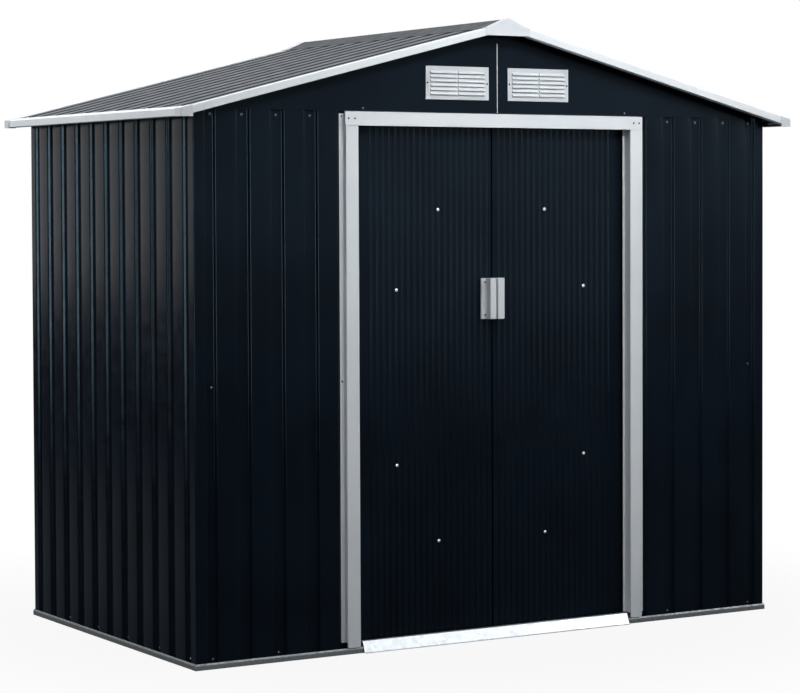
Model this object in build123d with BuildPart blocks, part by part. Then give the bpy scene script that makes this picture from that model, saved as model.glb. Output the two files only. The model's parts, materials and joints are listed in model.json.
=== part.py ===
from build123d import *
import os
from math import cos, radians, sin, tan

# Metal tool shed with an apex roof and a pair of sliding doors, in millimetres.
# The origin is on the ground under the middle of the roof, and the front faces -Y.

# Overall sizes
wall_width = 2000.0
wall_depth = 1180.0
wall_height = 1570.0
roof_pitch_degrees = 14.3
side_overhang = 65.0
end_overhang = 60.0

# Gauges of the folded sheets
sheet = 1.0
rail_gauge = 1.5
trim_gauge = 1.2
cap_gauge = 2.0

# Ribs rolled into the wall and roof sheets
crown_width = 64.0
groove_width = 44.0
groove_depth = 10.0
flank_run = 5.0
corner_flat = 34.0
corner_groove = 35.0
sheet_lap = 16.0

# Base rails
rail_reveal = 4.0
rail_lip_height = 13.0
rail_shoulder_run = 2.3
rail_shoulder_rise = 5.0
rail_upstand = 32.0
rail_foot = 30.0

# Top rails and middle rails
top_rail_drop = 37.0
top_rail_upstand = 25.0
top_rail_flange = 50.0
mid_rail_height = 790.0
mid_rail_width = 40.0
mid_rail_depth = 12.0

# Doorway surround
doorway_width = 956.0
jamb_face = 42.0
jamb_proud = 6.0
jamb_return = 31.0
jamb_lip = 7.0
jamb_flange = 14.0
jamb_clear = 9.0
jamb_above_rail = 0.5
jamb_top_gap = 8.0
jamb_round = 4.0
panel_tuck = 5.0
header_below_wall = 2.0
header_height = 40.0
header_overlap = 2.0
header_return = 10.0
header_round = 5.0
threshold_overlap = 10.0
threshold_clear = 9.0
threshold_toe = 4.0
threshold_ledge = 15.5
threshold_setback = 0.5

# Sliding doors
door_setback = 36.0
door_depth = 19.0
door_bottom = 28.0
door_below_wall = 35.0
door_overlap = 27.0
door_seam = 5.0
flute_pitch = 21.0
flute_depth = 4.0
flute_crest = 8.0
flute_flank = 3.0
flute_margin = 12.0
door_flat = 66.0
door_channel_height = 30.0
door_channel_depth = 16.0
door_channel_lip = 15.0
brace_width = 25.0
brace_inset = 30.0
brace_split = 12.0
handle_width = 38.5
handle_height = 122.0
handle_middle = 1018.0
handle_reach = 31.0
handle_grip = 22.0
handle_pad = 6.0
handle_round = 3.0
handle_edge_round = 1.0
scoop_depth = 3.5
scoop_radius = 9.5
scoop_sweep = 460.0
scoop_undercut = 1.5

# Top and bottom door tracks with the glides that run on them
track_clear = 6.0
track_reach = 35.0
track_lip_height = 12.0
track_end_gap = 55.0
glide_seat = 0.3
glide_width = 40.0
glide_inset = 58.0
glide_play = 3.0
glide_leg = 7.5
glide_nose = 5.0
glide_crown = 9.0
floor_track_width = 32.0
floor_track_height = 20.0
guide_thickness = 12.0
guide_bottom = 10.0

# Gable sheets and their vents
gable_hem = 4.0
gable_hem_proud = 1.2
vent_width = 217.0
vent_height = 98.0
vent_plate = 3.0
vent_centre = 142.0
vent_above_wall = 87.0
vent_border = 11.5
vent_side_border = 16.5
vent_middle_bar = 8.0
vent_rows = 6
vent_hood = 5.0
vent_blade = 1.5
vent_slot_share = 0.62

# Roof beam, ridge and edge trims
beam_half_width = 45.0
beam_web = 40.0
ridge_gap = 12.0
ridge_half_width = 74.0
ridge_lip = 10.0
ridge_rise = 11.0
ridge_end_depth = 26.0
ridge_end_lap = 3.0
ridge_end_height = 19.0
ridge_end_round = 12.0
ridge_end_border = 5.0
ridge_end_recess = 0.8
trim_height = 21.5
trim_top_flange = 30.0
trim_soffit = 24.0
sheet_edge_gap = 3.0
trim_joint = 0.5
eave_joint = 1.5
corner_cap_leg = 38.0
corner_cap_rim = 1.0
corner_cap_round = 4.0

# Lines and faces worked out from the sizes above
half_width = wall_width / 2
half_depth = wall_depth / 2
slope = tan(radians(roof_pitch_degrees))
slope_cos = cos(radians(roof_pitch_degrees))
slope_sin = sin(radians(roof_pitch_degrees))
floor_face = groove_depth + sheet
rail_face = floor_face + rail_gauge
roof_half_width = half_width + side_overhang
roof_half_depth = half_depth + end_overhang
trim_half_width = roof_half_width - cap_gauge
trim_half_depth = roof_half_depth - cap_gauge
ridge_underside = wall_height + slope * half_width
crown_top = groove_depth + sheet
trim_top = crown_top + trim_gauge
half_doorway = doorway_width / 2
jamb_edge = half_doorway + jamb_face
jamb_bottom = rail_lip_height + rail_shoulder_rise + jamb_above_rail
panel_edge = jamb_edge - panel_tuck
header_top = wall_height - header_below_wall
header_bottom = header_top - header_height
door_top = wall_height - door_below_wall
track_shelf = door_top + track_clear
door_edge = half_doorway + door_overlap
door_start = door_seam / 2
door_inner = door_setback + flute_depth + sheet
beam_length = wall_depth - 2 * sheet

os.makedirs("parts", exist_ok=True)


def save(piece, label):
    """Names a finished piece and writes it as its own file."""
    piece.part.label = label
    export_step(piece.part, "parts/" + label + ".step")


def bent_sheet(path, gauge):
    """Gives the closed outline of a sheet folded along a path, thick on the path's left."""
    points = [Vector(*point) for point in path]
    runs = [(end - start).normalized() for start, end in zip(points, points[1:])]
    normals = [Vector(-run.Y, run.X) for run in runs]
    inner = []
    for place, point in enumerate(points):
        before = normals[max(place - 1, 0)]
        after = normals[min(place, len(normals) - 1)]
        inner.append(point + (before + after) * (gauge / (1 + before.dot(after))))
    return [(point.X, point.Y) for point in points + inner[::-1]]


def fill(*outlines):
    """Draws closed outlines as faces of the sketch that is being built."""
    for outline in outlines:
        Polygon(*outline, align=None)


def upright(label, outline, bottom, top):
    """Makes a piece whose plan outline runs straight up."""
    with BuildPart() as piece:
        with BuildSketch(Plane.XY.offset(bottom)):
            fill(outline)
        extrude(amount=top - bottom)
    save(piece, label)


def along_x(label, start, end, *outlines):
    """Makes a piece whose outline across Y and Z runs along X."""
    with BuildPart() as piece:
        with BuildSketch(Plane.YZ.offset(start)):
            fill(*outlines)
        extrude(amount=end - start)
    save(piece, label)


def along_y(label, start, end, *outlines):
    """Makes a piece whose outline across X and Z runs along Y."""
    with BuildPart() as piece:
        with BuildSketch(Plane.XZ.offset(-end)):
            fill(*outlines)
        extrude(amount=end - start)
    save(piece, label)


def facing(outline, half, sign):
    """Turns depths behind a wall's outer face into places beside the middle of the shed."""
    return [(sign * (half - depth), other) for depth, other in outline]


def crowns(start, end):
    """Gives the outer line of the crowns and grooves that fill a stretch of sheet."""
    count = max(1, round((end - start + groove_width) / (crown_width + groove_width)))
    pitch = (end - start + groove_width) / count
    line = []
    for place in range(count):
        left = start + place * pitch
        right = left + pitch - groove_width
        line.append((left - flank_run, groove_depth))
        line.append((left, 0))
        line.append((right, 0))
        line.append((right + flank_run, groove_depth))
    return line


def lapped(line):
    """Lifts the last point of a ribbed line and adds the lip that laps the corner piece."""
    across = line[-1][0]
    lip = groove_depth - sheet
    return line[:-1] + [(across, lip), (across + sheet_lap, lip)]


def roof_underside(across):
    """Gives the height of the roof's underside at a distance from the ridge line."""
    return ridge_underside - slope * across


def roof_plane(side, lift):
    """Gives a plane along one roof slope, lifted square off its underside."""
    normal = Vector(side * slope_sin, 0, slope_cos)
    origin = Vector(0, 0, ridge_underside) + normal * lift
    return Plane(origin=origin, x_dir=(0, 1, 0), z_dir=normal)


def slope_section(side, across):
    """Gives the plane square to one roof slope at a distance from the ridge line."""
    origin = Vector(side * across, 0, roof_underside(across))
    down = Vector(side * slope_cos, 0, -slope_sin)
    return Plane(origin=origin, x_dir=(0, side, 0), z_dir=down)


# Base rails, mitred where they meet at the corners
def base_rail_outlines():
    """Gives a base rail's section: a foot with a shouldered lip outside, and an upstand behind the wall."""
    lip_and_foot = bent_sheet([(rail_shoulder_run - rail_reveal, rail_lip_height + rail_shoulder_rise),
                               (-rail_reveal, rail_lip_height), (-rail_reveal, 0), (rail_foot, 0)],
                              rail_gauge)
    upstand = [(floor_face, rail_gauge), (rail_face, rail_gauge),
               (rail_face, rail_upstand), (floor_face, rail_upstand)]
    return [lip_and_foot, upstand]


def base_rail(label, plane, half_length, half_across, sign):
    """Makes one base rail along a plane's normal and cuts both its ends to a mitre."""
    with BuildPart() as piece:
        with BuildSketch(plane.offset(-half_length - rail_reveal)):
            fill(*[facing(outline, half_across, sign) for outline in base_rail_outlines()])
        extrude(amount=2 * (half_length + rail_reveal))
        for end in (-1, 1):
            corner = plane.from_local_coords(Vector(sign * half_across, 0, end * half_length))
            inward = plane.from_local_coords(Vector(sign, 0, -end)) - plane.origin
            split(bisect_by=Plane(origin=corner, z_dir=inward), keep=Keep.TOP)
    save(piece, label)


base_rail("front_base_rail", Plane.YZ, half_width, half_depth, -1)
base_rail("rear_base_rail", Plane.YZ, half_width, half_depth, 1)
base_rail("left_base_rail", Plane.XZ, half_depth, half_width, -1)
base_rail("right_base_rail", Plane.XZ, half_depth, half_width, 1)

# Corner pieces, folded round each corner and stepped down into a groove on both faces
corner_floor = corner_flat + corner_groove - flank_run
corner_line = [(groove_depth, corner_floor), (groove_depth, corner_flat + flank_run), (0, corner_flat),
               (0, 0), (corner_flat, 0), (corner_flat + flank_run, groove_depth),
               (corner_floor, groove_depth)]
for end_name, end in (("front", -1), ("rear", 1)):
    for side_name, side in (("left", -1), ("right", 1)):
        plan = [(side * (half_width - along), end * (half_depth - behind))
                for along, behind in bent_sheet(corner_line, sheet)]
        upright(end_name + "_" + side_name + "_corner", plan, rail_gauge, wall_height)

# Front panels beside the doorway
panel_crowns_start = jamb_edge + jamb_flange + jamb_clear
panel_crowns_end = half_width - corner_flat - corner_groove
panel_line = [(panel_edge, groove_depth)] + lapped(crowns(panel_crowns_start, panel_crowns_end))
for side_name, side in (("left", -1), ("right", 1)):
    plan = [(side * along, behind - half_depth) for along, behind in bent_sheet(panel_line, sheet)]
    upright("front_" + side_name + "_panel", plan, rail_gauge, wall_height)


# Ribbed sheets of the closed walls, lapped on the corner pieces at both ends
def closed_wall_line(half_length):
    """Gives the outer line of a wall sheet from one corner piece to the other."""
    reach = half_length - corner_flat - corner_groove
    line = lapped(crowns(-reach, reach))
    start = line[0][0]
    lip = groove_depth - sheet
    return [(start - sheet_lap, lip), (start, lip)] + line[1:]


wall_outline = bent_sheet(closed_wall_line(half_width), sheet)
upright("rear_wall", [(along, half_depth - behind) for along, behind in wall_outline],
        rail_gauge, wall_height)
wall_outline = bent_sheet(closed_wall_line(half_depth), sheet)
for side_name, side in (("left", -1), ("right", 1)):
    plan = [(side * (half_width - behind), along) for along, behind in wall_outline]
    upright(side_name + "_wall", plan, rail_gauge, wall_height)

# Top rails: stepped ones under the gables, sloped ones under the eaves
stepped_line = [(sheet, wall_height + top_rail_upstand), (sheet, wall_height),
                (floor_face, wall_height), (floor_face, wall_height - top_rail_drop)]
for end_name, end in (("front", -1), ("rear", 1)):
    with BuildPart() as top_rail:
        with BuildSketch(Plane.YZ.offset(floor_face - half_width)):
            fill(facing(bent_sheet(stepped_line, rail_gauge), half_depth, end))
        extrude(amount=wall_width - 2 * floor_face)
        for side in (-1, 1):
            split(bisect_by=roof_plane(side, 0), keep=Keep.BOTTOM)
    save(top_rail, end_name + "_top_rail")

sloped_line = [(top_rail_flange, roof_underside(half_width - top_rail_flange)),
               (floor_face, roof_underside(half_width - floor_face)),
               (floor_face, wall_height - top_rail_drop)]
side_rail_reach = half_depth - rail_face
for side_name, side in (("left", -1), ("right", 1)):
    outline = facing(bent_sheet(sloped_line, rail_gauge), half_width, side)
    along_y(side_name + "_top_rail", -side_rail_reach, side_rail_reach, outline)

# Middle rails at half height, open towards the room
mid_low = mid_rail_height - mid_rail_width / 2
mid_high = mid_rail_height + mid_rail_width / 2
mid_inner = floor_face + mid_rail_depth
mid_line = [(mid_inner, mid_high), (floor_face, mid_high), (floor_face, mid_low), (mid_inner, mid_low)]
mid_outline = bent_sheet(mid_line, rail_gauge)
mid_end = half_width - corner_floor
for side_name, side in (("left", -1), ("right", 1)):
    reach = half_depth - corner_floor
    along_y(side_name + "_mid_rail", -reach, reach, facing(mid_outline, half_width, side))
    ends = sorted((side * panel_edge, side * mid_end))
    along_x("front_" + side_name + "_mid_rail", ends[0], ends[1], facing(mid_outline, half_depth, -1))
along_x("rear_mid_rail", -mid_end, mid_end, facing(mid_outline, half_depth, 1))

# Door jambs, notched over the base rail and behind the top rail
jamb_back = jamb_return - jamb_proud
jamb_line = [(half_doorway - jamb_lip, jamb_back), (half_doorway, jamb_back),
             (half_doorway, -jamb_proud), (jamb_edge, -jamb_proud),
             (jamb_edge, groove_depth - trim_gauge), (jamb_edge + jamb_flange, groove_depth - trim_gauge)]
jamb_top = wall_height - jamb_top_gap
for side_name, side in (("left", -1), ("right", 1)):
    with BuildPart() as jamb:
        with BuildSketch(Plane.XY.offset(jamb_bottom)):
            fill([(side * along, behind - half_depth)
                  for along, behind in bent_sheet(jamb_line, trim_gauge)])
        extrude(amount=jamb_top - jamb_bottom)
        with BuildSketch(Plane.XY):
            with Locations((side * (half_doorway + jamb_face / 2), jamb_back - half_depth)):
                Rectangle(2 * jamb_face, 2 * (jamb_return - trim_gauge))
        extrude(amount=rail_upstand + rail_gauge, mode=Mode.SUBTRACT)
        with BuildSketch(Plane.XY.offset(wall_height - top_rail_drop)):
            with Locations((side * half_doorway, jamb_back - half_depth)):
                Rectangle(2 * jamb_face, 2 * (jamb_back - floor_face))
        extrude(amount=top_rail_drop, mode=Mode.SUBTRACT)
        fillet(jamb.edges().filter_by(Axis.Y).group_by(Axis.Z)[0], radius=jamb_round)
    save(jamb, side_name + "_jamb")

# Header over the doorway: a face lapped on the jambs, with returns between them
header_face = jamb_proud + trim_gauge
header_inner = half_doorway - jamb_lip - trim_gauge
header_end = jamb_edge + header_overlap
with BuildPart() as door_header:
    with BuildSketch(Plane.YZ.offset(-header_end)):
        fill(facing([(-header_face, header_bottom), (-jamb_proud, header_bottom),
                     (-jamb_proud, header_top), (-header_face, header_top)], half_depth, -1))
    extrude(amount=2 * header_end)
    fillet(door_header.edges().filter_by(Axis.Y), radius=header_round)
    with BuildSketch(Plane.YZ.offset(-header_inner)):
        fill(facing([(-header_face, header_top - trim_gauge), (floor_face, header_top - trim_gauge),
                     (floor_face, header_top), (-header_face, header_top)], half_depth, -1),
             facing([(-header_face, header_bottom), (header_return, header_bottom),
                     (header_return, header_bottom + trim_gauge),
                     (-header_face, header_bottom + trim_gauge)], half_depth, -1))
    extrude(amount=2 * header_inner)
save(door_header, "door_header")

# Threshold ramp over the front base rail
threshold_top = rail_upstand + rail_gauge
threshold_inner = threshold_setback + threshold_ledge
threshold_foot = rail_reveal + threshold_clear
threshold_line = [(threshold_inner, threshold_top), (threshold_setback, threshold_top),
                  (-threshold_foot, rail_gauge), (-threshold_foot - threshold_toe, rail_gauge)]
threshold_half = half_doorway - threshold_overlap
along_x("door_threshold", -threshold_half, threshold_half,
        facing(bent_sheet(threshold_line, rail_gauge), half_depth, -1))

# Door tracks: a hanging rail behind the header and a channel on the ground
track_lip = rail_face + track_reach
track_lip_top = track_shelf + rail_gauge + track_lip_height
track_line = [(rail_face, header_top - trim_gauge), (rail_face, track_shelf),
              (track_lip, track_shelf), (track_lip, track_lip_top)]
track_half = half_width - track_end_gap
along_x("door_top_track", -track_half, track_half,
        facing(bent_sheet(track_line, rail_gauge), half_depth, -1))
floor_track_line = [(rail_foot, floor_track_height), (rail_foot, 0),
                    (rail_foot + floor_track_width, 0), (rail_foot + floor_track_width, floor_track_height)]
along_x("door_floor_track", -track_half, track_half,
        facing(bent_sheet(floor_track_line, rail_gauge), half_depth, -1))

# Gable sheets, in halves with holes behind the vents; the right half's hem laps the left half
vent_middle = wall_height + vent_above_wall
for end_name, end in (("front", -1), ("rear", 1)):
    for side_name, side in (("left", -1), ("right", 1)):
        with BuildPart() as gable:
            with BuildSketch(Plane.XZ.offset(-end * half_depth)):
                fill([(0, wall_height), (side * (half_width - floor_face), wall_height),
                      (side * (half_width - floor_face), roof_underside(half_width - floor_face)),
                      (0, ridge_underside)])
                with Locations((side * vent_centre, vent_middle)):
                    Rectangle(vent_width - 2 * vent_side_border, vent_height - 2 * vent_border,
                              mode=Mode.SUBTRACT)
            extrude(amount=end * sheet)
            if side > 0:
                with BuildSketch(Plane.XZ.offset(-end * half_depth)):
                    fill([(-gable_hem, wall_height), (gable_hem, wall_height),
                          (gable_hem, roof_underside(gable_hem)), (0, ridge_underside),
                          (-gable_hem, roof_underside(gable_hem))])
                extrude(amount=-end * gable_hem_proud)
        save(gable, end_name + "_" + side_name + "_gable")


# Gable vents: a moulded plate with rows of hooded slots in two columns
def gable_vent(label, centre, end):
    """Makes one vent on the front or rear gable, with a sloped hood and two cheeks over each slot."""
    face = end * half_depth
    row_pitch = (vent_height - 2 * vent_border) / vent_rows
    slot_width = (vent_width - 2 * vent_side_border - vent_middle_bar) / 2
    slot_height = row_pitch * vent_slot_share
    column_offset = (slot_width + vent_middle_bar) / 2
    lowest = vent_middle - (vent_rows - 1) * row_pitch / 2
    with BuildPart() as vent:
        with BuildSketch(Plane.XZ.offset(-face)):
            with Locations((centre, vent_middle)):
                Rectangle(vent_width, vent_height)
                with GridLocations(2 * column_offset, row_pitch, 2, vent_rows):
                    Rectangle(slot_width, slot_height, mode=Mode.SUBTRACT)
        extrude(amount=-end * vent_plate)
        for column in (-1, 1):
            hood_start = centre + column * column_offset - slot_width / 2 - vent_blade
            hoods = []
            cheeks = []
            for row in range(vent_rows):
                top = lowest + row * row_pitch + slot_height / 2
                bottom = top - slot_height
                hoods.append([(vent_plate, top), (vent_plate + vent_hood, bottom),
                              (vent_plate + vent_hood, bottom + vent_blade), (vent_plate, top + vent_blade)])
                hoods.append([(0, top), (vent_plate, top), (vent_plate, top + vent_blade),
                              (0, top + vent_blade)])
                cheeks.append([(vent_plate, bottom), (vent_plate + vent_hood, bottom), (vent_plate, top)])
            cheek_places = (hood_start, hood_start + vent_blade + slot_width)
            for start, length, outlines in ((hood_start, slot_width + 2 * vent_blade, hoods),
                                            (cheek_places[0], vent_blade, cheeks),
                                            (cheek_places[1], vent_blade, cheeks)):
                with BuildSketch(Plane.YZ.offset(start)):
                    fill(*[[(face + end * out, height) for out, height in outline] for outline in outlines])
                extrude(amount=length)
    save(vent, label)


for end_name, end in (("front", -1), ("rear", 1)):
    gable_vent(end_name + "_left_vent", -vent_centre, end)
    gable_vent(end_name + "_right_vent", vent_centre, end)

# Ridge beam between the gables, with a peaked top under the roof sheets
beam_edge = roof_underside(beam_half_width)
beam_line = [(beam_half_width, beam_edge - beam_web), (beam_half_width, beam_edge), (0, ridge_underside),
             (-beam_half_width, beam_edge), (-beam_half_width, beam_edge - beam_web)]
along_y("ridge_beam", -beam_length / 2, beam_length / 2, bent_sheet(beam_line, rail_gauge))

# Roof sheets, with ribs that run down the slope
roof_sheet_reach = trim_half_depth - trim_gauge - sheet_edge_gap
roof_sheet_end = trim_half_width - trim_gauge - sheet_edge_gap
roof_line = [(along, groove_depth - behind)
             for along, behind in crowns(flank_run - roof_sheet_reach, roof_sheet_reach - flank_run)]
for side_name, side in (("left", -1), ("right", 1)):
    with BuildPart() as roof_sheet:
        with BuildSketch(slope_section(side, ridge_gap)):
            fill(bent_sheet(roof_line, sheet))
        extrude(amount=(roof_sheet_end - ridge_gap) / slope_cos)
    save(roof_sheet, side_name + "_roof_sheet")


# Ridge cap, seated on the crowns of both roof sheets
def crown_height(across):
    """Gives the height of the roof sheets' crowns at a distance from the ridge line."""
    return roof_underside(across) + crown_top / slope_cos


ridge_shoulder = ridge_half_width - ridge_lip
ridge_peak = crown_height(0) + ridge_rise
ridge_line = [(-ridge_half_width, crown_height(ridge_half_width)),
              (-ridge_shoulder, crown_height(ridge_shoulder)), (0, ridge_peak),
              (ridge_shoulder, crown_height(ridge_shoulder)),
              (ridge_half_width, crown_height(ridge_half_width))]
ridge_outline = bent_sheet(ridge_line, sheet)
along_y("ridge_cap", -trim_half_depth, trim_half_depth, ridge_outline)

# Moulded ends of the ridge: a rounded peak with a hood over the ridge cap and a sunk face above a border
ridge_skin = ridge_outline[len(ridge_line):][::-1]
hood_outline = bent_sheet(ridge_skin, cap_gauge)
hood_top = hood_outline[len(ridge_skin):][::-1]
plate_half = ridge_half_width + ridge_end_lap
plate_low = crown_height(plate_half) - ridge_end_height
plate_outline = [(-plate_half, plate_low), (-plate_half, hood_top[0][1])] + hood_top
plate_outline = plate_outline + [(plate_half, hood_top[-1][1]), (plate_half, plate_low)]
face_low = plate_low + ridge_end_border
face_outline = [(-plate_half, face_low), (plate_half, face_low), (plate_half, ridge_peak + ridge_end_round),
                (-plate_half, ridge_peak + ridge_end_round)]
for end_name, end in (("front", -1), ("rear", 1)):
    with BuildPart() as ridge_end:
        with BuildSketch(Plane.XZ.offset(-end * roof_half_depth)):
            fill(hood_outline)
        extrude(amount=end * ridge_end_depth)
        with BuildSketch(Plane.XZ.offset(-end * roof_half_depth)):
            fill(plate_outline)
        extrude(amount=end * cap_gauge)
        fillet(ridge_end.edges().filter_by(Axis.Y).group_by(Axis.Z)[-1], radius=ridge_end_round)
        with BuildSketch(Plane.XZ.offset(-end * roof_half_depth)):
            fill(face_outline)
        extrude(amount=end * ridge_end_recess, mode=Mode.SUBTRACT)
    save(ridge_end, end_name + "_ridge_end")

# Edge trims: two lengths along each eave, then one up each verge
eave_top = crown_height(trim_half_width) + trim_gauge / slope_cos
eave_low = eave_top - trim_height
eave_line = [(trim_half_width - trim_soffit, eave_low), (trim_half_width, eave_low),
             (trim_half_width, eave_top),
             (trim_half_width - trim_top_flange, eave_top + slope * trim_top_flange)]
eave_reach = trim_half_depth - trim_top_flange - trim_joint
verge_low = trim_top - trim_height
verge_line = [(trim_half_depth - trim_soffit, verge_low), (trim_half_depth, verge_low),
              (trim_half_depth, trim_top), (trim_half_depth - trim_top_flange, trim_top)]
verge_start = ridge_half_width + trim_joint
verge_length = (trim_half_width - trim_gauge - verge_start) / slope_cos - trim_height * slope
for side_name, side in (("left", -1), ("right", 1)):
    outline = [(side * across, height) for across, height in bent_sheet(eave_line, trim_gauge)]
    with BuildPart() as eave_trim:
        for end in (-1, 1):
            with BuildSketch(Plane.XZ.offset(end * eave_joint / 2)):
                fill(outline)
            extrude(amount=end * (eave_reach - eave_joint / 2))
    save(eave_trim, side_name + "_eave_trim")
    for end_name, end in (("front", -1), ("rear", 1)):
        with BuildPart() as verge_trim:
            with BuildSketch(slope_section(side, verge_start)):
                fill([(side * end * along, lift) for along, lift in bent_sheet(verge_line, trim_gauge)])
            extrude(amount=verge_length)
        save(verge_trim, end_name + "_" + side_name + "_verge_trim")

# Moulded caps over the four corners of the roof edge, each with a skin over the trims
cap_reach = roof_half_width - corner_cap_leg / 2
cap_along = roof_half_depth - corner_cap_leg / 2
cap_height = trim_height + slope * roof_half_width
cap_skins = []
for side in (-1, 1):
    with BuildPart() as skin_pair:
        with BuildSketch(Plane.XY.offset(eave_low)):
            with Locations((side * cap_reach, -cap_along), (side * cap_reach, cap_along)):
                Rectangle(corner_cap_leg, corner_cap_leg)
        extrude(amount=cap_height)
        split(bisect_by=roof_plane(side, trim_top), keep=Keep.TOP)
        split(bisect_by=roof_plane(side, trim_top + corner_cap_rim), keep=Keep.BOTTOM)
    cap_skins.append(skin_pair.part)
cap_line = [(roof_half_width, roof_half_depth - corner_cap_leg), (roof_half_width, roof_half_depth),
            (roof_half_width - corner_cap_leg, roof_half_depth)]
with BuildPart() as corner_caps:
    with BuildSketch(Plane.XY.offset(eave_low - corner_cap_rim)):
        for side in (-1, 1):
            for end in (-1, 1):
                fill([(side * across, end * along) for across, along in bent_sheet(cap_line, cap_gauge)])
    extrude(amount=cap_height)
    for side in (-1, 1):
        split(bisect_by=roof_plane(side, trim_top + corner_cap_rim), keep=Keep.BOTTOM)
    add(cap_skins)
    uprights = corner_caps.edges().filter_by(Axis.Z)
    for outermost in (uprights.group_by(Axis.X)[0], uprights.group_by(Axis.X)[-1]):
        for corner in (outermost.sort_by(Axis.Y)[0], outermost.sort_by(Axis.Y)[-1]):
            fillet(corner, radius=corner_cap_round)
save(corner_caps, "roof_corner_caps")


# Sliding doors: fluted sheets with folded edges
def flute_line():
    """Gives the outer line of a door sheet: folded edges, shallow flutes and a flat margin."""
    stretch = door_edge - door_flat - door_start - flute_margin
    count = max(1, round(stretch / flute_pitch))
    line = [(door_start, door_setback + door_depth), (door_start, door_setback)]
    for place in range(count):
        crest_end = door_start + flute_margin + place * flute_pitch
        valley_end = crest_end + flute_pitch - flute_crest
        line.append((crest_end, door_setback))
        line.append((crest_end + flute_flank, door_setback + flute_depth))
        line.append((valley_end - flute_flank, door_setback + flute_depth))
        line.append((valley_end, door_setback))
    line.append((door_edge, door_setback))
    line.append((door_edge, door_setback + door_depth))
    return line


def brace(ends, side):
    """Draws one flat bar of a door's bracing between two points across and up the door."""
    start, end = [Vector(side * across, height) for across, height in ends]
    run = (end - start).normalized()
    square = Vector(-run.Y, run.X) * (brace_width / 2)
    corners = [start + square, end + square, end - square, start - square]
    fill([(corner.X, corner.Y) for corner in corners])


def door_handle(label, side):
    """Makes a moulded handle: a grip beside the seam and a screw pad with a long finger scoop."""
    back = door_setback - half_depth
    front = back - handle_reach
    pad = back - handle_pad
    grip_end = door_start + handle_grip
    outer = door_start + handle_width
    plan = [(door_start, back), (door_start, front), (grip_end, front), (grip_end, pad), (outer, pad),
            (outer, back)]
    scoop_across = side * (grip_end - scoop_undercut + scoop_radius)
    scoop_middle = pad + scoop_depth - scoop_radius
    half_height = handle_height / 2
    with BuildPart() as handle:
        with BuildSketch(Plane.XY.offset(handle_middle - half_height)):
            fill([(side * across, along) for across, along in plan])
        extrude(amount=handle_height)
        fillet(handle.edges().filter_by(Axis.Z).group_by(Axis.Y)[0], radius=handle_round)
        fillet(handle.faces().filter_by(Axis.Z).edges().group_by(Axis.Y)[0], radius=handle_edge_round)
        with BuildSketch(Plane.XY.offset(handle_middle)):
            with Locations((scoop_across, scoop_middle)):
                Circle(scoop_radius)
        sweep_centre = (scoop_across, scoop_middle - scoop_sweep, handle_middle)
        revolve(axis=Axis(sweep_centre, (1, 0, 0)), mode=Mode.SUBTRACT)
    save(handle, label)


channel_front = door_inner
channel_back = door_inner + door_channel_depth
top_channel = [(channel_back, door_top - door_channel_lip), (channel_back, door_top),
               (channel_front, door_top), (channel_front, door_top - door_channel_height)]
bottom_channel = [(channel_front, door_bottom + door_channel_height), (channel_front, door_bottom),
                  (channel_back, door_bottom), (channel_back, door_bottom + door_channel_lip)]
channel_start = door_start + 2 * sheet
channel_end = door_edge - 2 * sheet
brace_low = door_bottom + door_channel_height + brace_split
brace_high = door_top - door_channel_height - brace_split
brace_near = channel_start + brace_inset
brace_far = channel_end - brace_inset
brace_lines = [((brace_near, brace_high), (brace_far, mid_rail_height + brace_width)),
               ((brace_far, mid_rail_height - brace_width), (brace_near, brace_low))]
glide_top = track_lip_top + glide_seat + glide_crown
glide_back = track_lip + rail_gauge + glide_play + glide_leg
glide_slot_back = track_lip + rail_gauge + glide_play
glide_slot_front = track_lip - glide_play
glide_front = glide_slot_front - glide_nose
glide_line = [(glide_front, track_lip_top - track_lip_height / 2), (glide_front, glide_top),
              (glide_back, glide_top), (glide_back, door_top), (glide_slot_back, door_top),
              (glide_slot_back, track_lip_top + glide_seat), (glide_slot_front, track_lip_top + glide_seat),
              (glide_slot_front, track_lip_top - track_lip_height / 2)]
guide_front = rail_foot + (floor_track_width - guide_thickness) / 2
guide_back = guide_front + guide_thickness
guide_line = [(guide_front, guide_bottom), (guide_back, guide_bottom),
              (guide_back, door_bottom), (guide_front, door_bottom)]

for side_name, side in (("left", -1), ("right", 1)):
    door = side_name + "_door"
    plan = [(side * along, behind - half_depth) for along, behind in bent_sheet(flute_line(), sheet)]
    upright(door + "_sheet", plan, door_bottom, door_top)

    ends = sorted((side * channel_start, side * channel_end))
    along_x(door + "_channels", ends[0], ends[1],
            facing(bent_sheet(top_channel, rail_gauge), half_depth, -1),
            facing(bent_sheet(bottom_channel, rail_gauge), half_depth, -1))

    with BuildPart() as braces:
        with BuildSketch(Plane.XZ.offset(half_depth - door_inner)):
            for line in brace_lines:
                brace(line, side)
        extrude(amount=-rail_gauge)
    save(braces, door + "_braces")

    door_handle(door + "_handle", side)

    with BuildPart() as glides:
        for place in (door_start + glide_inset, door_edge - glide_inset):
            with BuildSketch(Plane.YZ.offset(side * place - glide_width / 2)):
                fill(facing(glide_line, half_depth, -1), facing(guide_line, half_depth, -1))
            extrude(amount=glide_width)
    save(glides, door + "_glides")
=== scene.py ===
"""Looks of a small metal tool shed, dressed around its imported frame, in metres.

Every sheet, rail and moulding of the frame is copied with rounded folds and softened cut edges, gets the
finish of the real one, and stands in a plain white studio at the photograph's viewing angle.
"""

import json
import logging
import math
from dataclasses import dataclass
from enum import Enum

import bmesh
import bpy
from mathutils import Matrix, Vector


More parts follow.
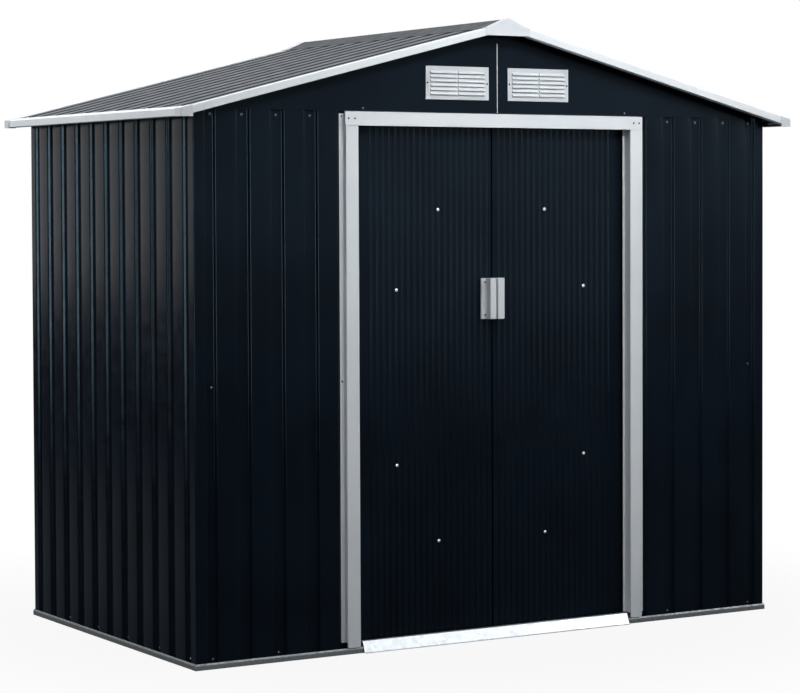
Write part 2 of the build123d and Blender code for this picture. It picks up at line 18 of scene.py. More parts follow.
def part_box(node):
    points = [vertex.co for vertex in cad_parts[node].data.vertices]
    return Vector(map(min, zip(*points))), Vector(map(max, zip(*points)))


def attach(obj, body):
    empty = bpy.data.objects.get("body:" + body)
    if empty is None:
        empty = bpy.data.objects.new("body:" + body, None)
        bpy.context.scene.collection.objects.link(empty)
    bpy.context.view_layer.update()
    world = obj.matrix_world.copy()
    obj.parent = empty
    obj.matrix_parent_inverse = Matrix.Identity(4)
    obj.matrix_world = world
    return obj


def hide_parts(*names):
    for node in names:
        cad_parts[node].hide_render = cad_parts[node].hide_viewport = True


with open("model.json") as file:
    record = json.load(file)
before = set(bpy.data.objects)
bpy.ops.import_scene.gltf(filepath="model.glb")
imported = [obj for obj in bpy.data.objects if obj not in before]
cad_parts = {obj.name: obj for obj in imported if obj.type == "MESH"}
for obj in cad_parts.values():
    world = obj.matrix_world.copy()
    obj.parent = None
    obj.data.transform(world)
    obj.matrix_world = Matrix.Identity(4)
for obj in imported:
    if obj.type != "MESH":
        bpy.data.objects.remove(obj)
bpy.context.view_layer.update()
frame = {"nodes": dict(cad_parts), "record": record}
RECORD = frame["record"]
BODY_OF = {node: body for body, nodes in RECORD["behaviour"]["bodies"].items() for node in nodes}
SLOT_OF = {row["node"]: row["material_slot"] for row in RECORD["subparts"]}

MM = 0.001
WELD = 0.01 * MM
SIDES = ("left", "right")
ENDS = ("front", "rear")
SIGNS = (-1, 1)
# Places are compared to a tenth of a millimetre
DIGITS = 4

log = logging.getLogger("shed")


def linear(hex_colour: str) -> tuple[float, float, float, float]:
    """Turns an sRGB hex colour into linear values.

    Args:
        hex_colour: Six hex digits, such as "e4e8ec".
    Returns:
        Red, green, blue and an alpha of 1.
    """
    values = [int(hex_colour[place:place + 2], 16) / 255 for place in (0, 2, 4)]
    red, green, blue = (v / 12.92 if v <= 0.04045 else ((v + 0.055) / 1.055) ** 2.4 for v in values)
    return red, green, blue, 1.0


def add_node(tree: bpy.types.NodeTree, kind: str, inputs: dict | None = None,
             **settings: object) -> bpy.types.Node:
    """Adds a node to a tree with its settings and inputs.

    Args:
        tree: The material, world or geometry tree.
        kind: The node's type name.
        inputs: For each input, by name or number, a socket to link from or a value to set.
        settings: The node's own properties.
    Returns:
        The new node.
    """
    node = tree.nodes.new(kind)
    for name, value in settings.items():
        setattr(node, name, value)
    for key, value in (inputs or {}).items():
        if isinstance(value, bpy.types.NodeSocket):
            tree.links.new(value, node.inputs[key])
        else:
            node.inputs[key].default_value = value
    return node


@dataclass(frozen=True)
class Finish:
    """A surface finish with a drifting colour, an uneven gloss and a fine relief.

    The pattern sizes are real lengths; a relief too fine to show is drawn coarser, as its comment says.
    """

    name: str
    colour: str
    drift_colour: str
    roughness_low: float
    roughness_high: float
    metallic: float = 0.0
    specular: float = 0.5
    specular_tint: str = "ffffff"
    drift_size: float = 250 * MM
    gloss_size: float = 40 * MM
    grain_size: float = 3 * MM
    grain_depth: float = 0.02 * MM
    wave_size: float = 180 * MM
    wave_depth: float = 0.0
    drift_detail: float = 3.0
    drift_reach: tuple[float, float] = (0.35, 0.65)
    gloss_detail: float = 4.0
    gloss_reach: tuple[float, float] = (0.3, 0.7)

    def make(self) -> bpy.types.Material:
        """Makes the material, with this finish's colour, gloss and relief linked to one shader.

        Returns:
            The new material.
        """
        material = bpy.data.materials.new(self.name)
        material.use_nodes = True
        tree = material.node_tree
        tree.nodes.clear()
        place = add_node(tree, "ShaderNodeTexCoord").outputs["Object"]
        shader = add_node(tree, "ShaderNodeBsdfPrincipled", {
            "Base Color": self.base_colour(tree, place),
            "Roughness": self.gloss(tree, place),
            "Normal": self.relief(tree, place),
            "Metallic": self.metallic,
            "Specular IOR Level": self.specular,
            "Specular Tint": linear(self.specular_tint),
        })
        add_node(tree, "ShaderNodeOutputMaterial", {"Surface": shader.outputs["BSDF"]})
        return material

    def noise(self, tree: bpy.types.NodeTree, place: bpy.types.NodeSocket, size: float,
              detail: float = 2.0) -> bpy.types.NodeSocket:
        """Adds a cloudy pattern.

        Args:
            tree: The material's tree.
            place: Coordinates to read.
            size: Size of one cloud, in metres.
            detail: How many finer layers it has.
        Returns:
            The pattern's socket, from about 0.3 to 0.7.
        """
        return add_node(tree, "ShaderNodeTexNoise", {
            "Vector": place, "Scale": 1 / size, "Detail": detail}).outputs[0]

    def drift(self, tree: bpy.types.NodeTree, place: bpy.types.NodeSocket) -> bpy.types.NodeSocket:
        """Makes the pattern by which the colour drifts.

        Args:
            tree: The material's tree.
            place: Coordinates to read.
        Returns:
            The second colour's share, from 0 to 1.
        """
        low, high = self.drift_reach
        return add_node(tree, "ShaderNodeMapRange", {
            "Value": self.noise(tree, place, self.drift_size, self.drift_detail),
            "From Min": low, "From Max": high}).outputs[0]

    def base_colour(self, tree: bpy.types.NodeTree, place: bpy.types.NodeSocket) -> bpy.types.NodeSocket:
        """Lets the colour drift between the two colours over the surface.

        Args:
            tree: The material's tree.
            place: Coordinates to read.
        Returns:
            The colour's socket.
        """
        return add_node(tree, "ShaderNodeMix", {
            0: self.drift(tree, place), 6: linear(self.colour), 7: linear(self.drift_colour)},
            data_type="RGBA").outputs[2]

    def gloss(self, tree: bpy.types.NodeTree, place: bpy.types.NodeSocket) -> bpy.types.NodeSocket:
        """Makes the gloss uneven.

        Args:
            tree: The material's tree.
            place: Coordinates to read.
        Returns:
            The roughness socket.
        """
        low, high = self.gloss_reach
        return add_node(tree, "ShaderNodeMapRange", {
            "Value": self.noise(tree, place, self.gloss_size, self.gloss_detail),
            "From Min": low, "From Max": high,
            "To Min": self.roughness_low, "To Max": self.roughness_high}).outputs[0]

    def relief(self, tree: bpy.types.NodeTree, place: bpy.types.NodeSocket) -> bpy.types.NodeSocket:
        """Adds the fine grain and, on thin sheet, its slow waves.

        Args:
            tree: The material's tree.
            place: Coordinates to read.
        Returns:
            The normal's socket.
        """
        grain = self.noise(tree, place, self.grain_size)
        bump = add_node(tree, "ShaderNodeBump", {
            "Height": grain, "Distance": self.grain_depth, "Strength": 1.0})
        if not self.wave_depth:
            return bump.outputs[0]
        return add_node(tree, "ShaderNodeBump", {
            "Height": self.noise(tree, place, self.wave_size, 0.0), "Distance": self.wave_depth,
            "Strength": 1.0, "Normal": bump.outputs[0]}).outputs[0]


@dataclass(frozen=True)
class SpangledZinc(Finish):
    """Hot-dip zinc, whose crystals catch the light one by one."""

    spangle_size: float = 14 * MM

    def drift(self, tree: bpy.types.NodeTree, place: bpy.types.NodeSocket) -> bpy.types.NodeSocket:
        """Gives each zinc crystal a random share of its own.

        Args:
            tree: The material's tree.
            place: Coordinates to read.
        Returns:
            The share's socket.
        """
        return add_node(tree, "ShaderNodeTexVoronoi", {
            "Vector": place, "Scale": 1 / self.spangle_size}).outputs["Color"]

    def gloss(self, tree: bpy.types.NodeTree, place: bpy.types.NodeSocket) -> bpy.types.NodeSocket:
        """Gives each zinc crystal a gloss of its own.

        Args:
            tree: The material's tree.
            place: Coordinates to read.
        Returns:
            The roughness socket.
        """
        return add_node(tree, "ShaderNodeMapRange", {
            "Value": self.drift(tree, place), "To Min": self.roughness_low,
            "To Max": self.roughness_high}).outputs[0]


class Wardrobe(Enum):
    """The shed's finishes, each from what the real one is."""

    # Dark polyester coil paint on thin steel: a black-blue sheet that mirrors faintly and waves a little
    WALL_PAINT = Finish("coil_paint_blue_black", "0f151d", "121a24", 0.13, 0.22, specular=0.08,
                        specular_tint="bfe6fd", wave_depth=0.3 * MM, grain_depth=0.005 * MM)
    # The same paint on the roof, rougher, and a little lighter in colour than on the walls: a painted sheen
    # for the pale sky the roof mirrors
    ROOF_PAINT = Finish("coil_paint_dusted", "131922", "181f29", 0.32, 0.44, specular=0.2,
                        specular_tint="d4eafd", wave_depth=0.3 * MM, grain_depth=0.008 * MM)
    # The ridge cap's paint, matt: darker than the sheets when seen flat, yet a little lighter in colour than
    # the walls, as a painted sheen of its upturned top
    CAP_PAINT = Finish("coil_paint_scuffed", "151a22", "1b222b", 0.46, 0.58, specular=0.3,
                       specular_tint="e0eefc", grain_depth=0.01 * MM)
    # White coil paint on the trims: satin, nearly even, with faint rolling marks
    TRIM_PAINT = Finish("coil_paint_white", "e0e5e9", "d8dee3", 0.36, 0.5, specular=0.3,
                        grain_depth=0.01 * MM)
    # White moulded polypropylene: soft satin with an eroded mould grain, drawn at 2 mm so that it shows
    MOULDING = Finish("moulded_plastic_white", "d2d7dc", "cbd1d6", 0.42, 0.56, specular=0.3,
                      grain_size=2 * MM, grain_depth=0.02 * MM, drift_size=60 * MM)
    # Hot-dip zinc on the inner rails and the threshold: bright, cool grey, with visible crystals
    ZINC = SpangledZinc("hot_dip_zinc", "d0d5d9", "b0b7bd", 0.28, 0.5, metallic=1.0)
    # Duller, darker zinc of the base rails
    DULL_ZINC = SpangledZinc("weathered_zinc", "74787b", "5f6366", 0.4, 0.58, metallic=1.0,
                             spangle_size=9 * MM)
    # Zinc-plated screws: bright heads that glint
    PLATED = Finish("zinc_plated_screw", "e0e3e5", "d2d6d9", 0.22, 0.34, metallic=1.0, drift_size=3 * MM,
                    grain_size=1 * MM)
    # Darker zinc on the wall screws: grey heads with a small glint
    DULLED = Finish("zinc_plating_dulled", "63676b", "54585c", 0.2, 0.3, metallic=1.0, drift_size=3 * MM,
                    grain_size=1 * MM)
    # Dark screws in the white trims and mouldings: small, nearly black dots
    DARK_SCREW = Finish("black_oxide_screw", "2a2c2f", "202225", 0.35, 0.5, metallic=0.6, drift_size=3 * MM,
                        grain_size=1 * MM)
    # Black nylon of the door glides: waxy, with a soft sheen
    NYLON = Finish("moulded_nylon_black", "1a1b1d", "141517", 0.38, 0.5, grain_depth=0.02 * MM)


SLOT_FINISH = {
    "dark_paint": Wardrobe.WALL_PAINT,
    "white_trim": Wardrobe.TRIM_PAINT,
    "white_plastic": Wardrobe.MOULDING,
    "galvanised_steel": Wardrobe.ZINC,
    "base_rail_steel": Wardrobe.DULL_ZINC,
    "glide_plastic": Wardrobe.NYLON,
}


@dataclass(frozen=True)
class Spot:
    """A place for a screw: where its washer sits and which way its head faces."""

    place: Vector
    facing: Vector


@dataclass(frozen=True)
class ScrewStyle:
    """The finish, the record's slot and the sizes of one kind of screw."""

    finish: Wardrobe
    slot: str
    head_radius: float
    head_height: float
    washer_radius: float
    washer_height: float
    recess_width: float

    def sizes(self) -> dict[str, float]:
        """Names the screw's sizes as the geometry tree's inputs do."""
        return {"Head Radius": self.head_radius, "Head Height": self.head_height,
                "Washer Radius": self.washer_radius, "Washer Height": self.washer_height,
                "Recess Width": self.recess_width}


class ScrewKind(Enum):
    """Screws that show: bright in the doors and eaves, duller in the walls, dark in the white pieces."""

    PLATED = ScrewStyle(Wardrobe.PLATED, "galvanised_steel", head_radius=4.0 * MM, head_height=2.6 * MM,
                        washer_radius=5.2 * MM, washer_height=1.0 * MM, recess_width=1.1 * MM)
    DULLED = ScrewStyle(Wardrobe.DULLED, "galvanised_steel", head_radius=3.0 * MM, head_height=2.0 * MM,
                        washer_radius=3.9 * MM, washer_height=0.9 * MM, recess_width=0.9 * MM)
    DARK = ScrewStyle(Wardrobe.DARK_SCREW, "glide_plastic", head_radius=2.5 * MM, head_height=1.6 * MM,
                      washer_radius=2.9 * MM, washer_height=0.5 * MM, recess_width=0.8 * MM)


class Outfitter:
    """Makes each material once and puts finished pieces on their bodies."""

    def __init__(self) -> None:
        """Starts with no material made."""
        self.made: dict[Wardrobe, bpy.types.Material] = {}

    def material(self, finish: Wardrobe) -> bpy.types.Material:
        """Gives a finish's material, made at its first use.

        Args:
            finish: The finish.
        Returns:
            Its material.
        """
        if finish not in self.made:
            self.made[finish] = finish.value.make()
        return self.made[finish]

    def settle(self, piece: bpy.types.Object, body: str, slot: str) -> None:
        """Puts a piece on its body and logs its face count.

        Args:
            piece: The finished piece.
            body: The body that carries it.
            slot: The record's material slot; not used.
        """
        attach(piece, body)
        log.info("%s on %s, %d faces", piece.name, body, len(piece.data.polygons))


def plain_mesh(piece: bpy.types.Object) -> None:
    """Bakes a piece's modifiers into its mesh and removes them.

    Args:
        piece: The piece, linked to the scene.
    """
    depsgraph = bpy.context.evaluated_depsgraph_get()
    baked = bpy.data.meshes.new_from_object(piece.evaluated_get(depsgraph), depsgraph=depsgraph)
    piece.modifiers.clear()
    piece.data = baked


def run_pairs(places: list[float]) -> list[tuple[float, float]]:
    """Pairs up the ends of a sheet's level runs.

    Args:
        places: Where the sheet's points on that level lie along the sheet.
    Returns:
        Start and end of each run, in order.
    """
    ends = sorted({round(place, DIGITS) for place in places})
    return list(zip(ends[::2], ends[1::2]))


def face_width(face: bmesh.types.BMFace) -> float:
    """Gives the mean width of a long face, or of the end of a folded sheet."""
    return 2 * face.calc_area() / face.calc_perimeter()


@dataclass
class SubAssembly:
    """Nodes of the frame that are formed and finished alike."""

    outfitter: Outfitter
    nodes: tuple[str, ...] = ()
    fold: float = 1.5 * MM
    fold_steps: int = 4
    edge: float = 0.25 * MM
    edge_steps: int = 1
    thickest_sheet: float = 2.2 * MM
    flat_angle: float = math.radians(0.5)
    fold_angle: float = math.radians(20)
    smooth_angle: float = math.radians(38)

    def build(self) -> None:
        """Copies, rounds and dresses every node."""
        for node in self.nodes:
            piece = self.rounded_copy(node)
            piece.data.materials.clear()
            piece.data.materials.append(self.outfitter.material(self.finish_of(node)))
            self.outfitter.settle(piece, BODY_OF[node], SLOT_OF[node])
            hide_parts(node)

    def finish_of(self, node: str) -> Wardrobe:
        """Gives the finish of a node, from its slot in the record unless a sub-assembly has its own."""
        return SLOT_FINISH[SLOT_OF[node]]

    def rounded_copy(self, node: str) -> bpy.types.Object:
        """Copies a node with its folds rounded and its cut edges softened.

        Args:
            node: The node's name.
        Returns:
            The copy, with its place in its mesh.
        """
        shape = bmesh.new()
        shape.from_mesh(frame["nodes"][node].data)
        bmesh.ops.remove_doubles(shape, verts=shape.verts, dist=WELD)
        bmesh.ops.dissolve_limit(shape, angle_limit=self.flat_angle, verts=shape.verts, edges=shape.edges,
                                 use_dissolve_boundaries=False, delimit=set())
        self.shape_sheet(node, shape)
        self.soften(shape)
        mesh = bpy.data.meshes.new(node + "_skin")
        shape.to_mesh(mesh)
        shape.free()
        mesh.shade_smooth()
        mesh.set_sharp_from_angle(angle=self.smooth_angle)
        piece = bpy.data.objects.new(node + "_skin", mesh)
        bpy.context.scene.collection.objects.link(piece)
        weighted = piece.modifiers.new("even_normals", "WEIGHTED_NORMAL")
        weighted.keep_sharp = True
        plain_mesh(piece)
        return piece

    def shape_sheet(self, node: str, shape: bmesh.types.BMesh) -> None:
        """Leaves a shape as the frame has it; a sub-assembly may form it further."""

    def soften(self, shape: bmesh.types.BMesh) -> None:
        """Rounds the folds of a shape, then softens the edges of its cut faces.

        Args:
            shape: The welded copy, changed in place.
        """
        for cut, reach, steps in ((False, self.fold, self.fold_steps), (True, self.edge, self.edge_steps)):
            chosen = [edge for edge in shape.edges if self.is_bend(edge) and self.is_cut(edge) == cut]
            if chosen and reach:
                bmesh.ops.bevel(shape, geom=chosen, offset=reach, offset_type="OFFSET", segments=steps,
                                profile=0.5, affect="EDGES", clamp_overlap=False, loop_slide=True)

    def is_bend(self, edge: bmesh.types.BMEdge) -> bool:
        """Tells whether two faces meet at more than a slight angle along an edge."""
        return len(edge.link_faces) == 2 and edge.calc_face_angle(0.0) > self.fold_angle

    def is_cut(self, edge: bmesh.types.BMEdge) -> bool:
        """Tells whether an edge borders the cut thickness of a sheet."""
        return any(face_width(face) < self.thickest_sheet for face in edge.link_faces)

    def screws(self) -> list[tuple[ScrewKind, str, Spot]]:
        """Lists the screws that this sub-assembly shows, with their kind and body."""
        return []


@dataclass(frozen=True)
class RibbedSheet:
    """A ribbed wall sheet: its axes along and across the wall, 0 for X or 1 for Y, and its facing."""

    node: str
    along: int
    across: int
    outward: int

    def runs(self, side: int) -> list[tuple[float, float]]:
        """Finds the sheet's level runs from the frame.

        Args:
            side: 1 for the crowns, on the outer side, or -1 for the grooves.
        Returns:
            Start and end of each run along the wall, in order.
        """
        low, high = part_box(self.node)
        level = high[self.across] if self.outward * side > 0 else low[self.across]
        points = [point.co for point in frame["nodes"][self.node].data.vertices]
        return run_pairs([point[self.along] for point in points if abs(point[self.across] - level) < WELD])


RIBBED_SHEETS = (RibbedSheet("front_left_panel", 0, 1, -1), RibbedSheet("front_right_panel", 0, 1, -1),
                 RibbedSheet("rear_wall", 0, 1, 1), RibbedSheet("left_wall", 1, 0, -1),
                 RibbedSheet("right_wall", 1, 0, 1))


@dataclass
class Walls(SubAssembly):
    """Ribbed wall sheets, corner pieces and gables, with the screws in their grooves.

    The rolls leave each crown slightly bowed, which lets reflections fade across it.
    """

    fold: float = 3.0 * MM
    bow: float = 0.8 * MM
    bow_steps: int = 4
    seam_width: float = 2.2 * MM
    seam_proud: float = 0.4 * MM
    seam_drop: float = 48 * MM
    lap: float = 16 * MM
    sheet: float = 1 * MM
    top_inset: float = 16 * MM
    middle_height: float = 790 * MM
    bottom_height: float = 26 * MM
    gable_screw_rise: float = 8 * MM
    gable_screw_share: float = 0.465

    def __post_init__(self) -> None:
        """Names the nodes of the walls."""
        corners = [f"{end}_{side}_corner" for end in ENDS for side in SIDES]
        gables = [f"{end}_{side}_gable" for end in ENDS for side in SIDES]
        panels = [sheet.node for sheet in RIBBED_SHEETS]
        self.nodes = tuple(panels + corners + gables)

    def build(self) -> None:
        """Dresses the walls and adds a bright zinc strip at each gable's seam: its bare cut edge, drawn
        wider and face-on as a painted highlight.
        """
        super().build()
        for end, outward in zip(ENDS, SIGNS):
            self.seam_edge_and_highlight(end, outward)

    def seam_edge_and_highlight(self, end: str, outward: int) -> None:
        """Adds a bright zinc strip where two gable sheets lap: partly the hem's bare cut edge, partly a
        painted highlight of its fold.

        Args:
            end: The gable's end, front or rear.
            outward: Which way it faces on Y, 1 or -1.
        """
        low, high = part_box(f"{end}_right_gable")
        face = low.y if outward < 0 else high.y
        size = Vector((self.seam_width, 2 * self.seam_proud, high.z - low.z - self.seam_drop))
        shape = bmesh.new()
        bmesh.ops.create_cube(shape, size=1.0)
        bmesh.ops.scale(shape, vec=size, verts=shape.verts)
        middle = (low.x + size.x / 2, face, low.z + size.z / 2)
        bmesh.ops.translate(shape, vec=middle, verts=shape.verts)
        mesh = bpy.data.meshes.new(f"{end}_gable_seam_edge")
        shape.to_mesh(mesh)
        shape.free()
        # Bare zinc, laid face-on and wider than the cut edge: a painted highlight of the hem's fold
        mesh.materials.append(self.outfitter.material(Wardrobe.ZINC))
        edge = bpy.data.objects.new(mesh.name, mesh)
        bpy.context.scene.collection.objects.link(edge)
        self.outfitter.settle(edge, "shed", "galvanised_steel")

    def shape_sheet(self, node: str, shape: bmesh.types.BMesh) -> None:
        """Bows the crowns of a ribbed sheet outwards.

        Args:
            node: The sheet's node.
            shape: The welded copy, changed in place.
        """
        for sheet in RIBBED_SHEETS:
            if sheet.node == node:
                for start, end in sheet.runs(1):
                    self.bow_crown(shape, sheet, start, end)

    def bow_crown(self, shape: bmesh.types.BMesh, sheet: RibbedSheet, start: float, end: float) -> None:
        """Cuts one crown into strips and bows them.

        Args:
            shape: The sheet's copy, changed in place.
            sheet: The sheet's axes.
            start: Where the crown starts along the wall.
            end: Where it ends.
        """
        half = (end - start) / 2
        normal = Vector((0, 0, 0))
        normal[sheet.along] = 1.0
        for step in range(1, self.bow_steps):
            cut = normal * (start + (end - start) * step / self.bow_steps)
            bmesh.ops.bisect_plane(shape, geom=shape.verts[:] + shape.edges[:] + shape.faces[:], dist=WELD,
                                   plane_co=cut, plane_no=normal)
        for point in shape.verts:
            reach = (point.co[sheet.along] - start - half) / half
            if abs(reach) < 1:
                point.co[sheet.across] += sheet.outward * self.bow * (1 - reach * reach)

    def screws(self) -> list[tuple[ScrewKind, str, Spot]]:
        """Puts screws in the grooves and laps along the rails, and on the gables.

        Returns:
            Every screw's kind, body and spot.
        """
        found = []
        for sheet in RIBBED_SHEETS:
            along, across, outward = sheet.along, sheet.across, sheet.outward
            low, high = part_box(sheet.node)
            floor = (low[across] + self.sheet) if outward > 0 else (high[across] - self.sheet)
            facing = Vector((0, 0, 0))
            facing[across] = outward
            laps = [place for place in (low[along] + self.lap / 2, high[along] - self.lap / 2)
                    if abs(place) > abs(low[along] + high[along]) / 2]
            grooves = [(start + end) / 2 for start, end in sheet.runs(-1)]
            panel = sheet.node.startswith("front")
            rows = [(high.z - self.top_inset, grooves if panel else grooves[::2], laps),
                    (self.middle_height, [], laps if along == 0 else []),
                    (self.bottom_height, grooves[1:2] if panel else grooves[1::2], laps)]
            for height, middles, ends in rows:
                for middle, lift in [(m, 0.0) for m in middles] + [(e, self.sheet) for e in ends]:
                    place = Vector((0, 0, height))
                    place[along] = middle
                    place[across] = floor + outward * lift
                    found.append((ScrewKind.DULLED, "shed", Spot(place, facing)))
        for end, outward in zip(ENDS, SIGNS):
            low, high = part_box(f"{end}_left_gable")
            face = low.y if outward < 0 else high.y
            for side in SIGNS:
                place = Vector((side * low.x * self.gable_screw_share, face, low.z + self.gable_screw_rise))
                found.append((ScrewKind.DULLED, "shed", Spot(place, Vector((0, outward, 0)))))
        return found


@dataclass
class Roof(SubAssembly):
    """Ribbed roof sheets and the ridge cap, with screws through the eave trims into the crowns."""

    fold: float = 2.2 * MM
    fold_angle: float = math.radians(6)
    pitch: float = math.radians(14.3)
    screw_inset: float = 13 * MM

    def __post_init__(self) -> None:
        """Names the nodes of the roof."""
        self.nodes = ("left_roof_sheet", "right_roof_sheet", "ridge_cap")

    def finish_of(self, node: str) -> Wardrobe:
        """Gives the roof sheets and the cap their own rougher paints, each a little lighter in colour than
        the walls' paint as a painted sheen.
        """
        return Wardrobe.CAP_PAINT if node == "ridge_cap" else Wardrobe.ROOF_PAINT

    def crown_middles(self, node: str, outward: int) -> list[float]:
        """Finds the middles of a roof sheet's crowns along its eave.

        Args:
            node: The sheet's node.
            outward: Which way its eave lies, 1 or -1.
        Returns:
            Middles along Y, in order.
        """
        low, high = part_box(node)
        edge = high.x if outward > 0 else low.x
        ends = [p.co for p in frame["nodes"][node].data.vertices if abs(p.co.x - edge) < self.screw_inset]
        top = max(point.z for point in ends)
        runs = run_pairs([point.y for point in ends if top - point.z < WELD])
        return [(start + end) / 2 for start, end in runs]

    def screws(self) -> list[tuple[ScrewKind, str, Spot]]:
        """Puts a screw over every other crown of each eave.

        Returns:
            Every screw's kind, body and spot.
        """
        found = []
        for side, outward in zip(SIDES, SIGNS):
            low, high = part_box(f"{side}_eave_trim")
            inner = low.x if outward > 0 else high.x
            height = high.z - math.tan(self.pitch) * self.screw_inset
            place = Vector((inner + outward * self.screw_inset, 0, height))
            facing = Vector((outward * math.sin(self.pitch), 0, math.cos(self.pitch)))
            for middle in self.crown_middles(f"{side}_roof_sheet", outward)[::2]:
                found.append((ScrewKind.PLATED, "shed", Spot(place + Vector((0, middle, 0)), facing)))
        return found


@dataclass
class Trims(SubAssembly):
    """White folded trims: eaves, verges, jambs and the header, with their screws."""

    fold: float = 1.6 * MM
    gauge: float = 1.2 * MM
    header_insets: tuple[float, float] = (11 * MM, 32 * MM)
    flange_inset: float = 7 * MM
    flange_screw_height: float = 790 * MM

    def __post_init__(self) -> None:
        """Names the nodes of the trims."""
        verges = [f"{end}_{side}_verge_trim" for end in ENDS for side in SIDES]
        eaves = [f"{side}_eave_trim" for side in SIDES]
        jambs = [f"{side}_jamb" for side in SIDES]
        self.nodes = tuple(eaves + verges + jambs + ["door_header"])

    def screws(self) -> list[tuple[ScrewKind, str, Spot]]:
        """Puts two screws in each end of the header and one at half height in each jamb's flange.

        Returns:
            Every screw's kind, body and spot.
        """
        found = []
        for side in SIDES:
            low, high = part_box(f"{side}_jamb")
            across = low.x + self.flange_inset if side == "left" else high.x - self.flange_inset
            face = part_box(f"front_{side}_panel")[1].y - Walls.sheet - self.gauge
            found.append((ScrewKind.DARK, "shed",
                          Spot(Vector((across, face, self.flange_screw_height)), Vector((0, -1, 0)))))
        low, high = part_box("door_header")
        for inset in self.header_insets:
            for across in (low.x + inset, high.x - inset):
                place = Vector((across, low.y, (low.z + high.z) / 2))
                found.append((ScrewKind.DARK, "shed", Spot(place, Vector((0, -1, 0)))))
        return found


@dataclass
class Mouldings(SubAssembly):
    """White moulded plastic: vents, ridge ends and roof corner caps."""

    fold: float = 0.5 * MM
    fold_steps: int = 2
    edge: float = 0.35 * MM
    edge_steps: int = 2
    plate: float = 3 * MM
    vent_screw_inset: float = 5.5 * MM

    def __post_init__(self) -> None:
        """Names the moulded nodes."""
        vents = [f"{end}_{side}_vent" for end in ENDS for side in SIDES]
        self.nodes = tuple(vents + ["front_ridge_end", "rear_ridge_end", "roof_corner_caps"])

    def screws(self) -> list[tuple[ScrewKind, str, Spot]]:
        """Puts a screw in both sides of each vent.

        Returns:
            Every screw's kind, body and spot.
        """
        found = []
        for end, outward in zip(ENDS, SIGNS):
            for side in SIDES:
                low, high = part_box(f"{end}_{side}_vent")
                face = (high.y - self.plate) if outward < 0 else (low.y + self.plate)
                for across in (low.x + self.vent_screw_inset, high.x - self.vent_screw_inset):
                    place = Vector((across, face, (low.z + high.z) / 2))
                    found.append((ScrewKind.DARK, "shed", Spot(place, Vector((0, outward, 0)))))
        return found


@dataclass
class SteelFrame(SubAssembly):
    """Base rails, inner rails, threshold, tracks and the ridge beam."""

    fold: float = 1.2 * MM

    def __post_init__(self) -> None:
        """Names the nodes of the frame."""
        rails = [f"{name}_{kind}_rail" for name in ENDS + SIDES for kind in ("base", "top")]
        middles = [f"{name}_mid_rail" for name in ("left", "right", "rear", "front_left", "front_right")]
        others = ["door_threshold", "door_top_track", "door_floor_track", "ridge_beam"]
        self.nodes = tuple(rails + middles + others)


@dataclass
class SlidingDoor(SubAssembly):
    """One sliding door: its fluted sheet, channels, braces and glides."""

    side: str = "left"
    fold: float = 1.3 * MM
    fold_steps: int = 3
    brace_screw_shares: tuple[tuple[float, float], ...] = (
        (0.37, 0.834), (0.653, 0.678), (0.653, 0.336), (0.37, 0.182))

    def __post_init__(self) -> None:
        """Names the nodes of the door."""
        self.nodes = tuple(f"{self.side}_door_{part}" for part in ("sheet", "channels", "braces", "glides"))

    def screws(self) -> list[tuple[ScrewKind, str, Spot]]:
        """Puts the brace screws on the door's flutes.

        Returns:
            Every screw's kind, body and spot.
        """
        low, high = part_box(f"{self.side}_door_sheet")
        found = []
        for across, up in self.brace_screw_shares:
            share = 1 - across if self.side == "left" else across
            place = Vector((low.x + (high.x - low.x) * share, low.y, low.z + (high.z - low.z) * up))
            found.append((ScrewKind.PLATED, f"{self.side}_door", Spot(place, Vector((0, -1, 0)))))
        return found


@dataclass
class DoorHandle(SubAssembly):
    """A moulded door handle with two screws in its pad."""

    side: str = "left"
    fold: float = 0.0
    edge: float = 0.0
    pad: float = 6 * MM
    screw_inset: float = 12 * MM
    screw_across: float = 13.4 * MM

    def __post_init__(self) -> None:
        """Names the handle's node."""
        self.nodes = (f"{self.side}_door_handle",)

    def screws(self) -> list[tuple[ScrewKind, str, Spot]]:
        """Puts a screw near each end of the pad.

        Returns:
            Every screw's kind, body and spot.
        """
        low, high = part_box(self.nodes[0])
        across = low.x + self.screw_across if self.side == "left" else high.x - self.screw_across
        return [(ScrewKind.DARK, f"{self.side}_door",
                 Spot(Vector((across, high.y - self.pad, height)), Vector((0, -1, 0))))
                for height in (low.z + self.screw_inset, high.z - self.screw_inset)]


